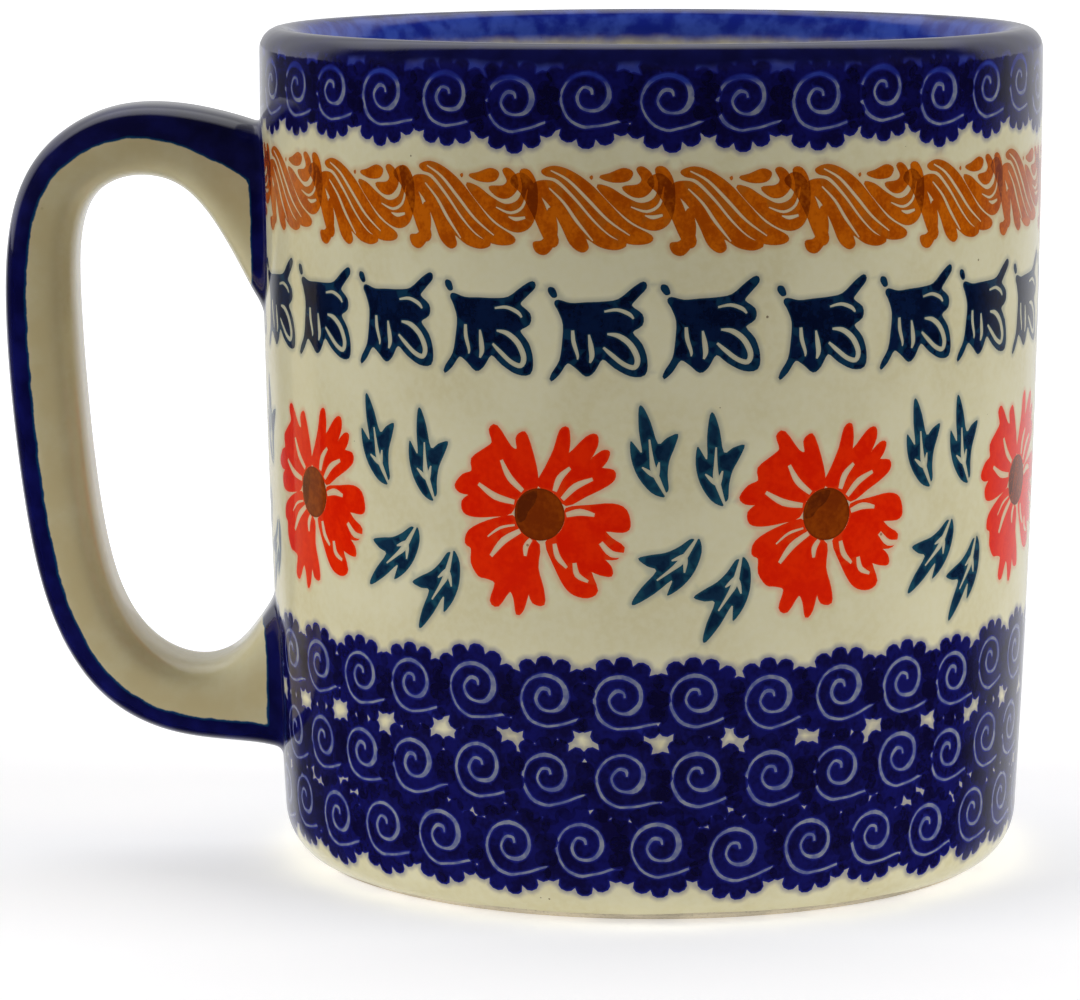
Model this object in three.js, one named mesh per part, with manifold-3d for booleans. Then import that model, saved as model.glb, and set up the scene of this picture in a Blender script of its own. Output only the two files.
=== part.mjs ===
// Straight-sided stoneware mug with a strap handle.
// Millimetres, +Z up. The origin is the middle of the bounding box, on the surface the mug stands on,
// and the handle points along -X. The clay lies inside a thin coat of glaze, a working gap under it.
import * as THREE from 'three';
import { ParametricGeometry } from 'three/addons/geometries/ParametricGeometry.js';
import { mergeVertices } from 'three/addons/utils/BufferGeometryUtils.js';
import Module from 'manifold-3d';

// ---- the cup, measured on its glazed surface
const HEIGHT = 92.1;
const RIM_RADIUS = 43;
const SWELL = 0.41;             // how far the wall swells below the rim
const TAPER = 2.83;             // how far it draws in again towards the foot
const WALL = 4.6;               // wall with the glaze on both faces
const LIP_RISE = 2.4;           // height of the rounded lip
const HEEL_HEIGHT = 6;          // height of the rounded corner above the foot ring
const FOOT_RADIUS = 35.8;       // outer edge of the flat foot ring
const RECESS_RADIUS = 31.5;     // the hollow inside the foot ring
const RECESS_DEPTH = 2.2;
const FLOOR_HEIGHT = 7;         // floor inside the cup
const FLOOR_CORNER = 9;         // rounded corner between the floor and the wall
const GLAZE_LINE = 1;           // the outside glaze stops here, so that the foot stays bare

// ---- thicknesses of the thin layers
const GLAZE = 0.4;
const SLIP = 0.8;               // the slip that holds the handle on
const GAP = 0.3;                // left between neighbouring pieces
const SKIN = GLAZE + GAP;       // the clay lies this far under the glazed surface
const LIP_SEAM = 0.08;          // radians each side of the lip's crown, where the two coats stop

// ---- the handle, measured on its glazed surface from the cup's axis
const HANDLE_REACH = 71.3;
const STRAP_HALF_WIDTH = 7.2;
const ROOT_EXTRA_WIDTH = 1.4;   // the strap is this much wider, each way, where it meets the cup
const STRAP_SQUARENESS = 3.2;   // 2 is an ellipse, and more is closer to a rectangle
// from the upper root to the lower one: outer edge x and z, inner edge x and z
const STRAP_STATIONS = [
  [-39.5, 80.2, -39.5, 56.8],
  [-43.4, 81.6, -43.5, 62.4],
  [-47.4, 82.8, -46.7, 68.6],
  [-53.2, 83.8, -51.2, 74.8],
  [-60.0, 83.3, -57.0, 76.0],
  [-66.6, 79.4, -61.3, 73.9],
  [-70.2, 73.0, -63.1, 69.4],
  [-HANDLE_REACH, 63.6, -63.3, 62.9],
  [-70.8, 51.4, -62.7, 51.6],
  [-69.2, 37.2, -61.4, 38.6],
  [-66.7, 26.6, -59.3, 29.2],
  [-61.6, 18.1, -55.6, 23.7],
  [-54.4, 13.9, -51.0, 21.6],
  [-47.4, 12.8, -47.0, 22.4],
  [-43.2, 12.3, -43.7, 26.0],
  [-39.5, 11.3, -39.5, 33.0],
];

// ---- fineness of the facets
const AROUND = 48;
const WALL_STEPS = 5;
const CORNER_STEPS = 4;
const LIP_STEPS = 3;
const STRAP_STEPS = 32;
const STRAP_SIDES = 14;

const SHOULDER = HEIGHT - LIP_RISE;
const LIP_MIDDLE = RIM_RADIUS - WALL / 2;
const AXIS_X = (HANDLE_REACH - RIM_RADIUS) / 2;

const wasm = await Module();
wasm.setup();

// ---- solids

// a closed geometry as a solid that can be joined and cut
function toSolid(geometry) {
  geometry.deleteAttribute('normal');
  geometry.deleteAttribute('uv');
  const merged = mergeVertices(geometry, 1e-4);
  const corners = merged.index.array;
  const triangles = [];
  for (let i = 0; i < corners.length; i += 3) {
    const [a, b, c] = corners.slice(i, i + 3);
    if (a !== b && b !== c && c !== a) triangles.push(a, b, c);
  }
  return new wasm.Manifold(new wasm.Mesh({
    numProp: 3,
    vertProperties: new Float32Array(merged.attributes.position.array),
    triVerts: new Uint32Array(triangles),
  }));
}

function toGeometry(solid) {
  const mesh = solid.getMesh();
  const geometry = new THREE.BufferGeometry();
  geometry.setAttribute('position', new THREE.BufferAttribute(mesh.vertProperties, 3));
  geometry.setIndex(new THREE.BufferAttribute(mesh.triVerts, 1));
  geometry.computeVertexNormals();
  return geometry;
}

// a profile in radius and height, listed anticlockwise, turned about the cup's axis
function turned(profile) {
  const outline = [...profile];
  if (profile[0].x > 0) outline.push(profile[0]);
  return toSolid(new THREE.LatheGeometry(outline, AROUND).rotateX(Math.PI / 2));
}

const point = (radius, height) => new THREE.Vector2(radius, height);

// ---- the cup's lines

// radius of the glazed outside at a height
function wallRadius(height) {
  const down = 1 - height / HEIGHT;
  return RIM_RADIUS + SWELL * down - TAPER * down * down;
}

// part of an ellipse, between two angles
function arc(centre, acrossRadius, upRadius, from, to, steps) {
  const points = [];
  for (let i = 0; i <= steps; i += 1) {
    const angle = from + ((to - from) * i) / steps;
    points.push(point(centre.x + acrossRadius * Math.cos(angle), centre.y + upRadius * Math.sin(angle)));
  }
  return points;
}

// the straight stretch of a wall, between two heights and without its two ends
function wallStretch(radiusAt, low, high) {
  const points = [];
  for (let i = 1; i < WALL_STEPS; i += 1) {
    const height = low + ((high - low) * i) / WALL_STEPS;
    points.push(point(radiusAt(height), height));
  }
  return points;
}

// the outside, some depth under the glazed surface, from a height on the heel up to the lip's middle,
// or to an angle short of it
function outsideLine(depth, start, short = 0) {
  const radiusAt = (height) => wallRadius(height) - depth;
  const heelWidth = radiusAt(HEEL_HEIGHT) - FOOT_RADIUS;
  const startAngle = Math.asin((start - HEEL_HEIGHT) / HEEL_HEIGHT);
  return [
    ...arc(point(FOOT_RADIUS, HEEL_HEIGHT), heelWidth, HEEL_HEIGHT, startAngle, 0, CORNER_STEPS),
    ...wallStretch(radiusAt, HEEL_HEIGHT, SHOULDER),
    ...arc(point(LIP_MIDDLE, SHOULDER), radiusAt(SHOULDER) - LIP_MIDDLE, LIP_RISE - depth,
      0, Math.PI / 2 - short, LIP_STEPS),
  ];
}

// the inside in the same way, from the lip's middle down to the floor's middle
function insideLine(depth, short = 0) {
  const radiusAt = (height) => wallRadius(height) - WALL + depth;
  const cornerTop = FLOOR_HEIGHT + FLOOR_CORNER;
  const cornerRadius = FLOOR_CORNER + depth;
  const cornerMiddle = point(radiusAt(cornerTop) - cornerRadius, cornerTop);
  return [
    ...arc(point(LIP_MIDDLE, SHOULDER), LIP_MIDDLE - radiusAt(SHOULDER), LIP_RISE - depth,
      Math.PI / 2 + short, Math.PI, LIP_STEPS),
    ...wallStretch(radiusAt, SHOULDER, cornerTop),
    ...arc(cornerMiddle, cornerRadius, cornerRadius, 0, -Math.PI / 2, CORNER_STEPS),
    point(0, FLOOR_HEIGHT - depth),
  ];
}

// everything inside the cup's outside, at a depth
const withinOutside = (depth) => turned([
  point(0, 0), ...outsideLine(depth, 0), point(0, HEIGHT - depth),
]);

// ---- the strap

// the whole strap as a loft between its two edges, with flat ends, some depth under the glaze
function strap(depth) {
  const edge = (column) => new THREE.CatmullRomCurve3(
    STRAP_STATIONS.map((s) => new THREE.Vector3(s[column], 0, s[column + 1])), false, 'centripetal');
  const outerEdge = edge(0);
  const innerEdge = edge(2);
  const rounded = (value) => Math.sign(value) * Math.abs(value) ** (2 / STRAP_SQUARENESS);
  const surface = (around, along, target) => {
    // the first and the last row shrink to a point, which closes the two ends
    const row = Math.round(along * (STRAP_STEPS + 2));
    const t = THREE.MathUtils.clamp((row - 1) / STRAP_STEPS, 0, 1);
    const closed = row === 0 || row === STRAP_STEPS + 2;
    const outer = outerEdge.getPoint(t);
    const inner = innerEdge.getPoint(t);
    const middle = outer.clone().add(inner).multiplyScalar(0.5);
    const across = outer.clone().sub(middle);
    const halfThickness = across.length();
    const atRoot = Math.abs(2 * t - 1) ** 8;
    const halfWidth = STRAP_HALF_WIDTH + ROOT_EXTRA_WIDTH * atRoot - depth;
    const angle = 2 * Math.PI * around;
    const reach = closed ? 0 : 1;
    const up = reach * rounded(Math.cos(angle)) * ((halfThickness - depth) / halfThickness);
    const side = reach * rounded(Math.sin(angle)) * halfWidth;
    target.copy(middle).addScaledVector(across, up).add(new THREE.Vector3(0, side, 0));
  };
  return toSolid(new ParametricGeometry(surface, STRAP_SIDES, STRAP_STEPS + 2));
}

// ---- the clay

const cupBody = turned([
  point(0, RECESS_DEPTH), point(RECESS_RADIUS, RECESS_DEPTH), point(RECESS_RADIUS + GAP, 0),
  ...outsideLine(SKIN, 0), ...insideLine(SKIN).slice(1),
]);

// between the cup and the handle there is a gap, then the slip, and then another gap
const slipUnderside = withinOutside(SKIN - GAP);
const slipFace = withinOutside(SKIN - GAP - SLIP);
const handleEnd = withinOutside(SKIN - GAP - SLIP - GAP);
const clayStrap = strap(SKIN);
const handle = clayStrap.subtract(handleEnd);
const slipPatches = clayStrap.intersect(slipFace.subtract(slipUnderside)).decompose();
const [lowerSlip, upperSlip] = slipPatches.sort((a, b) => a.boundingBox().min[2] - b.boundingBox().min[2]);

// ---- the glaze

const coatedStrap = strap(GLAZE);
const wallCoat = turned([
  ...outsideLine(0, GLAZE_LINE, LIP_SEAM), ...outsideLine(GLAZE, GLAZE_LINE, LIP_SEAM).reverse(),
]).subtract(coatedStrap);
const strapCoat = strap(0).subtract(coatedStrap).subtract(withinOutside(GLAZE));
const outerGlaze = wallCoat.add(strapCoat);
const innerGlaze = turned([...insideLine(0, LIP_SEAM), ...insideLine(GLAZE, LIP_SEAM).reverse()]);
const baseGlaze = turned([
  point(0, RECESS_DEPTH - SKIN), point(RECESS_RADIUS - GAP, RECESS_DEPTH - SKIN),
  point(RECESS_RADIUS - GAP, RECESS_DEPTH - GAP), point(0, RECESS_DEPTH - GAP),
]);

// ---- the mug

const bareClay = { color: 0xd6cab2, roughness: 0.85, metalness: 0 };
const driedSlip = { color: 0xc9bda4, roughness: 0.9, metalness: 0 };
const creamGlaze = { color: 0xdcd6be, roughness: 0.12, metalness: 0 };
const pieces = [
  ['cup_body', cupBody, bareClay],
  ['handle', handle, bareClay],
  ['upper_slip_joint', upperSlip, driedSlip],
  ['lower_slip_joint', lowerSlip, driedSlip],
  ['outer_glaze', outerGlaze, creamGlaze],
  ['inner_glaze', innerGlaze, creamGlaze],
  ['base_glaze', baseGlaze, creamGlaze],
];

const mug = new THREE.Group();
const aboutAxis = new THREE.Group();
aboutAxis.position.x = AXIS_X;
mug.add(aboutAxis);
for (const [name, solid, finish] of pieces) {
  const mesh = new THREE.Mesh(toGeometry(solid), new THREE.MeshStandardMaterial(finish));
  mesh.name = name;
  aboutAxis.add(mesh);
}

export default mug;
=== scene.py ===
"""The looks of a straight-sided stoneware mug, stamped with folk motifs under a clear glaze.

Lengths are in millimetres until a mesh is made. The pattern is laid out on the unrolled outside of the
cup: u runs round it, u = 0 at the front and the handle at a quarter turn to the left, and s runs up it.
"""
import math
import random

import bpy
import numpy as np
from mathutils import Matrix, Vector
from mathutils.geometry import delaunay_2d_cdt
from mathutils.kdtree import KDTree


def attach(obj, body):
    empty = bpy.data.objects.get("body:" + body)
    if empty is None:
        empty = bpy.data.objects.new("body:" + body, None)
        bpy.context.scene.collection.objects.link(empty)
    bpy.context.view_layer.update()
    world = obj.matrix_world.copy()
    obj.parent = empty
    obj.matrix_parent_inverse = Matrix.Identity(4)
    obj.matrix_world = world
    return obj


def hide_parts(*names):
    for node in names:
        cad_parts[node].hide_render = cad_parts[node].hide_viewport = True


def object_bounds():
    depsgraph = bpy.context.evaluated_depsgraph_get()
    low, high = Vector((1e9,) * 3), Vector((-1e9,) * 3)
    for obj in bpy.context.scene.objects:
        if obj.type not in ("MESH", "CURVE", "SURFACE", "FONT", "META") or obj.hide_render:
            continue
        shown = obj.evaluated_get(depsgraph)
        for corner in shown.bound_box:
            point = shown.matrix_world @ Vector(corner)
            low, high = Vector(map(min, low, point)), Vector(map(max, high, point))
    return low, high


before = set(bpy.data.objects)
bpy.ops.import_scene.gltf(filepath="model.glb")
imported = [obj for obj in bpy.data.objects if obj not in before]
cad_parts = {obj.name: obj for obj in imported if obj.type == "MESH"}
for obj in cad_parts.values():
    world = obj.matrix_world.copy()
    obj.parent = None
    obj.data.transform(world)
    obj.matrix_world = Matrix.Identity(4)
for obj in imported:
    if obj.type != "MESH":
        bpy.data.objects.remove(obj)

MM = 0.001
cad_low, cad_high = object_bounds()
rng = random.Random(20)

# ---- the cup's sizes, as in the CAD model

SWELL = 0.41
TAPER = 2.83
WALL = 4.6
LIP_RISE = 2.4
HEEL_HEIGHT = 6.0
FOOT_RADIUS = 35.8
RECESS_RADIUS = 31.5
RECESS_DEPTH = 2.2
FLOOR_HEIGHT = 7.0
FLOOR_CORNER = 9.0
GLAZE_LINE = 1.0
GLAZE = 0.4
GAP = 0.3
SKIN = GLAZE + GAP

WIDEST = (cad_high.y - cad_low.y) / 2 / MM
HEIGHT = cad_high.z / MM
RIM_RADIUS = WIDEST - SWELL ** 2 / (4 * TAPER)
AXIS_X = cad_high.x / MM - WIDEST
SHOULDER = HEIGHT - LIP_RISE
LIP_MIDDLE = RIM_RADIUS - WALL / 2
LIP_ARC = math.pi / 2 * (WALL / 2 + LIP_RISE) / 2
CROWN = SHOULDER + LIP_ARC
HALF_TURN = math.pi * RIM_RADIUS

STRAP_HALF_WIDTH = 7.2
ROOT_EXTRA_WIDTH = 1.4
STRAP_SQUARENESS = 3.2
# the strap's outer and inner edges, each as x from the cup's axis and height, from the upper root down
STRAP_STATIONS = np.array([
    (-39.5, 80.2, -39.5, 56.8),
    (-43.4, 81.6, -43.5, 62.4),
    (-47.4, 82.8, -46.7, 68.6),
    (-53.2, 83.8, -51.2, 74.8),
    (-60.0, 83.3, -57.0, 76.0),
    (-66.6, 79.4, -61.3, 73.9),
    (-70.2, 73.0, -63.1, 69.4),
    (-71.3, 63.6, -63.3, 62.9),
    (-70.8, 51.4, -62.7, 51.6),
    (-69.2, 37.2, -61.4, 38.6),
    (-66.7, 26.6, -59.3, 29.2),
    (-61.6, 18.1, -55.6, 23.7),
    (-54.4, 13.9, -51.0, 21.6),
    (-47.4, 12.8, -47.0, 22.4),
    (-43.2, 12.3, -43.7, 26.0),
    (-39.5, 11.3, -39.5, 33.0),
])
FILLET = 0.9

AROUND = 208
LIP_STEPS = 12
CORNER_STEPS = 16
BRUSH_MARKS = 0.1


# ---- the cup's surfaces

def unit(vectors):
    """The same vectors with a length of one."""
    return vectors / np.maximum(np.linalg.norm(vectors, axis=-1, keepdims=True), 1e-9)


def wall_radius(height):
    """The outside radius of the cup, which swells below the rim and then tapers."""
    down = 1 - height / HEIGHT
    return RIM_RADIUS + SWELL * down - TAPER * down * down


def outside(s, depth=0.0):
    """Radius and height on the outside. Past the shoulder, s goes on along the lip's rounding."""
    s = np.asarray(s, float)
    height = np.minimum(s, SHOULDER)
    radius = wall_radius(height) - depth
    on_heel = np.clip((HEEL_HEIGHT - height) / HEEL_HEIGHT, 0, 1)
    heel_width = wall_radius(HEEL_HEIGHT) - depth - FOOT_RADIUS
    radius = np.where(on_heel > 0, FOOT_RADIUS + heel_width * np.sqrt(1 - on_heel ** 2), radius)
    angle = np.clip((s - SHOULDER) / LIP_ARC, 0, 1) * math.pi / 2
    lip_width = wall_radius(SHOULDER) - depth - LIP_MIDDLE
    on_lip = s > SHOULDER
    radius = np.where(on_lip, LIP_MIDDLE + lip_width * np.cos(angle), radius)
    height = np.where(on_lip, SHOULDER + (LIP_RISE - depth) * np.sin(angle), height)
    return radius, height


def on_cup(u, s, depth=0.0):
    """Points on the cup's outside, and the outward normals there."""
    u = np.asarray(u, float)
    radius, height = outside(s, depth)
    step = 0.02
    r_low, z_low = outside(np.asarray(s) - step, depth)
    r_high, z_high = outside(np.asarray(s) + step, depth)
    rise = unit(np.stack([r_high - r_low, z_high - z_low], -1))
    turn = u / RIM_RADIUS
    points = np.stack([AXIS_X + radius * np.sin(turn), -radius * np.cos(turn), height], -1)
    normals = np.stack([rise[..., 1] * np.sin(turn), -rise[..., 1] * np.cos(turn), -rise[..., 0]], -1)
    return points, normals


# ---- meshes

def place_object(name, data):
    """A new object in the scene."""
    thing = bpy.data.objects.new(name, data)
    bpy.context.scene.collection.objects.link(thing)
    return thing


def make_piece(name, vertices, faces, replaces, normals=None):
    """A mesh from points in millimetres, which rides on the one body."""
    mesh = bpy.data.meshes.new(name)
    mesh.from_pydata((np.asarray(vertices) * MM).tolist(), [], faces)
    mesh.update()
    mesh.shade_smooth()
    if normals is not None:
        mesh.normals_split_custom_set_from_vertices(normals.tolist())
    piece = place_object(name, mesh)
    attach(piece, "root")
    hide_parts(*replaces)
    return piece


def add_attribute(mesh, name, values, domain="POINT"):
    values = np.asarray(values, np.float32)
    if values.ndim == 1:
        mesh.attributes.new(name, "FLOAT", domain).data.foreach_set("value", values)
    else:
        mesh.attributes.new(name, "FLOAT_COLOR", domain).data.foreach_set("color", values.ravel())


def faces_between(rings):
    """Faces from each closed ring of corners to the next one. A ring may be one corner, repeated."""
    faces = []
    for low, high in zip(rings, rings[1:]):
        for k in range(len(low)):
            j = (k + 1) % len(low)
            corners = (low[k], low[j], high[j], high[k])
            face = [c for i, c in enumerate(corners) if c != corners[i - 1]]
            if len(face) > 2:
                faces.append(face)
    return faces


def lathe_piece(name, profile, look, replaces):
    """A closed profile in radius and height, listed anticlockwise, turned about the cup's axis."""
    rings = []
    vertices = []
    for radius, height in profile:
        if radius == 0:
            rings.append([len(vertices)] * AROUND)
            vertices.append((AXIS_X, 0, height))
            continue
        rings.append(list(range(len(vertices), len(vertices) + AROUND)))
        for k in range(AROUND):
            turn = 2 * math.pi * k / AROUND
            vertices.append((AXIS_X + radius * math.sin(turn), -radius * math.cos(turn), height))
    if profile[0][0] > 0:
        rings.append(rings[0])
    piece = make_piece(name, vertices, faces_between(rings), replaces)
    piece.data.materials.append(look)


# ---- drawing stamps

THINNEST_SLIT = 0.04


def spline(points, steps=4, closed=True):
    """A smooth line through a few points."""
    points = np.asarray(points, float)
    count = len(points)
    line = []
    for i in range(count if closed else count - 1):
        a, b, c, d = points.take(range(i - 1, i + 3), axis=0, mode="wrap" if closed else "clip")
        for j in range(steps):
            t = j / steps
            line.append(0.5 * (2 * b + (c - a) * t + (2 * a - 5 * b + 4 * c - d) * t * t
                               + (3 * b - a - 3 * c + d) * t ** 3))
    if not closed:
        line.append(points[-1])
    return np.array(line)


def ribbon(points, steps=4):
    """The outline and the middle line of a stroke through (x, y, half width) points."""
    line = spline(points, steps, closed=False)
    middle = line[:, :2]
    along = unit(np.gradient(middle, axis=0))
    side = np.stack([-along[:, 1], along[:, 0]], 1) * np.maximum(line[:, 2:3], THINNEST_SLIT)
    return np.concatenate([middle + side, (middle - side)[::-1]]), middle


def polar(points):
    """(degrees, radius) points as x and y."""
    points = np.asarray(points, float)
    turn = np.radians(points[:, 0])
    flat = np.stack([points[:, 1] * np.cos(turn), points[:, 1] * np.sin(turn)], 1)
    return np.concatenate([flat, points[:, 2:]], 1)


class Stamp:
    """Painted outlines of one ink, with the outlines that stay bare inside them."""

    def __init__(self, ink):
        self.ink = ink
        self.painted = []
        self.bare = []
        self.spines = []

    def paint(self, outline, grow=0.0):
        """Adds an outline, which the ink spreads beyond by some millimetres."""
        along = unit(np.roll(outline, -1, axis=0) - np.roll(outline, 1, axis=0))
        x, y = outline.T
        turning = np.sign(np.sum(x * np.roll(y, -1) - np.roll(x, -1) * y))
        self.painted.append(outline + grow * turning * np.stack([along[:, 1], -along[:, 0]], 1))
        return self

    def slit(self, points, steps=4):
        """Adds a stroke that stays bare, through (x, y, half width) points."""
        outline, spine = ribbon(points, steps)
        self.bare.append(outline)
        self.spines.append(spine)
        return self

    def placed(self, u, s, turn=0.0, size=1.0):
        """A copy that is turned by some degrees, scaled, and put at (u, s)."""
        c, d = math.cos(math.radians(turn)) * size, math.sin(math.radians(turn)) * size
        matrix = np.array([[c, d], [-d, c]])
        copy = Stamp(self.ink)
        for kind in ("painted", "bare", "spines"):
            setattr(copy, kind, [line @ matrix + (u, s) for line in getattr(self, kind)])
        return copy


# ---- the stamps

SPIRAL_REACH = 4.95
SPIRAL_BREADTH = 1.11
SPIRAL_DROP = 0.3
SPIRAL_LOBES = 14
SPIRAL_VARIANTS = 8
LOBE_PROFILE = ((0.0, 0.85), (0.15, 0.26), (0.36, 0.02), (0.64, 0.02), (0.85, 0.26))


def spiral_stamp(variant):
    """A disc with a scalloped edge, and a spiral left bare inside it that runs out to the right."""
    vary = random.Random(variant)
    edge = []
    for lobe in range(SPIRAL_LOBES):
        reach = SPIRAL_REACH + vary.uniform(-0.12, 0.1)
        for along, inset in LOBE_PROFILE:
            edge.append((360 * (lobe + along) / SPIRAL_LOBES, reach - inset))
    turns = [
        (40, 0.55, 0.13), (75, 0.95, 0.19), (120, 1.14, 0.21), (180, 1.2, 0.21), (235, 1.2, 0.19),
        (285, 1.4, 0.21), (325, 1.8, 0.3), (365, 2.2, 0.33), (405, 2.46, 0.24), (450, 2.55, 0.22),
        (495, 2.7, 0.19), (540, 2.85, 0.16), (585, 2.97, 0.19), (620, 3.0, 0.17),
    ]
    turns = [(a, r + vary.uniform(-0.05, 0.05), w * vary.uniform(0.55, 1.0)) for a, r, w in turns]
    curl = polar(turns)
    tail = [(0.7, -2.92, 0.12), (2.0, -2.68, 0.12), (3.2, -2.3, 0.12), (4.6, -1.95, 0.08)]
    disc = polar(edge) * (SPIRAL_BREADTH, 1) - (0, SPIRAL_DROP)
    return Stamp("cobalt").paint(disc).slit(np.concatenate([curl, tail]), 3)


INK_SPREAD = 0.14
GARLAND_SPREAD = 0.1


def garland_stamp():
    """A slanting feather with a curl behind it."""
    stamp = Stamp("ochre")
    for shape in (
        [(0.5, 4.2), (1.8, 4.6), (3.5, 4.1), (5.4, 2.8), (7.2, 0.9), (9.2, -1.2), (11.6, -2.6),
         (11.2, -3.3), (9.3, -3.3), (7.4, -2.3), (5.7, -0.6), (4.0, 1.5), (2.2, 3.3), (0.9, 3.7)],
        [(-0.3, 2.9), (1.0, 3.15), (2.1, 2.7), (3.9, 0.9), (5.6, -1.1), (7.4, -2.7), (9.0, -3.4),
         (8.0, -3.9), (6.4, -3.6), (4.9, -2.7), (5.1, -3.7), (4.4, -4.1), (3.3, -3.3), (2.4, -1.4),
         (1.3, 0.6), (0.1, 1.9)],
        [(6.2, 2.5), (7.4, 2.4), (9.0, 1.4), (10.6, 0.7), (12.0, 1.2), (12.5, 2.6), (12.2, 4.2),
         (13.1, 4.3), (13.9, 3.0), (14.0, 0.6), (13.4, -1.3), (12.0, -2.0), (10.2, -1.4), (8.2, 0.2)],
        [(8.8, 2.4), (9.8, 1.5), (11.0, 1.5), (11.9, 2.5), (11.7, 3.7), (10.9, 4.4), (10.3, 4.2),
         (10.8, 3.2), (10.3, 2.6)],
        [(6.5, 3.5), (7.5, 3.8), (8.9, 4.3), (9.8, 3.9), (9.3, 3.1), (7.8, 3.0)],
        [(1.3, 0.4), (1.9, -1.2), (1.7, -3.0), (0.7, -4.3), (-0.3, -4.1), (-0.6, -3.2), (0.3, -3.0),
         (0.8, -2.2), (0.7, -0.8)],
        [(-2.9, 3.1), (-2.0, 3.9), (-0.9, 3.4), (0.3, 1.4), (1.2, -0.9), (2.0, -2.9), (1.4, -3.6),
         (0.5, -2.6), (-0.6, -0.2), (-1.8, 1.9)],
    ):
        stamp.paint(spline(shape), GARLAND_SPREAD)
    stamp.paint(spline([(5.4, 3.5), (5.7, 3.7), (5.8, 3.4), (5.6, 3.2)], 2))
    for vein in (
        [(1.4, 4.2, 0.06), (3.2, 3.2, 0.13), (5.2, 1.2, 0.16), (7.2, -0.9, 0.12), (9.4, -2.5, 0.05)],
        [(1.2, 2.4, 0.06), (2.7, 0.9, 0.13), (4.0, -1.0, 0.16), (5.6, -3.0, 0.06)],
        [(9.6, 0.4, 0.05), (11.2, -0.1, 0.14), (12.5, 0.6, 0.14), (13.0, 2.4, 0.06)],
        [(11.0, -0.5, 0.05), (11.8, -0.7, 0.2), (12.8, -0.5, 0.12)],
    ):
        stamp.slit(vein)
    return stamp


def winged_stamp():
    """A four-cornered figure with two horns, open wings at its right and a tail at its left."""
    stamp = Stamp("indigo")
    stamp.paint(spline([
        (-3.9, 3.2), (-2.6, 2.9), (-1.0, 3.0), (0.8, 3.1), (2.4, 3.4), (3.9, 4.6), (4.9, 5.2),
        (5.1, 4.7), (4.2, 3.7), (3.6, 2.8), (4.7, 1.9), (4.7, 0.9), (3.7, 0.1), (4.7, -1.2),
        (5.2, -2.8), (5.0, -4.2), (3.6, -4.3), (2.0, -3.5), (0.7, -2.6), (-0.2, -3.9), (-1.0, -4.4),
        (-2.0, -3.6), (-3.0, -3.1), (-3.9, -4.3), (-4.7, -5.0), (-4.5, -4.3), (-3.7, -3.0),
        (-3.4, -1.2), (-3.3, 0.8), (-3.8, 2.2), (-4.2, 2.9),
    ], 3), INK_SPREAD)
    stamp.paint(spline([(-4.9, 4.6), (-4.3, 4.5), (-4.0, 3.7), (-4.5, 3.5), (-5.0, 4.1)], 3))
    for gap in (
        [(0.9, 2.2, 0.1), (2.2, 2.4, 0.17), (3.4, 2.0, 0.2), (3.9, 1.5, 0.1)],
        [(1.2, -0.1, 0.1), (2.4, -0.3, 0.26), (3.6, -1.2, 0.3), (4.3, -2.6, 0.3), (4.0, -3.5, 0.26),
         (2.9, -3.2, 0.24), (1.6, -2.2, 0.22), (0.8, -1.5, 0.12)],
        [(-0.7, -0.2, 0.1), (-0.5, -1.4, 0.26), (-0.4, -2.4, 0.26), (-0.6, -3.1, 0.1)],
        [(-2.4, 0.2, 0.16), (-2.3, -1.0, 0.22), (-1.9, -2.3, 0.16), (-1.9, -2.8, 0.06)],
    ):
        stamp.slit(gap)
    return stamp


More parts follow.
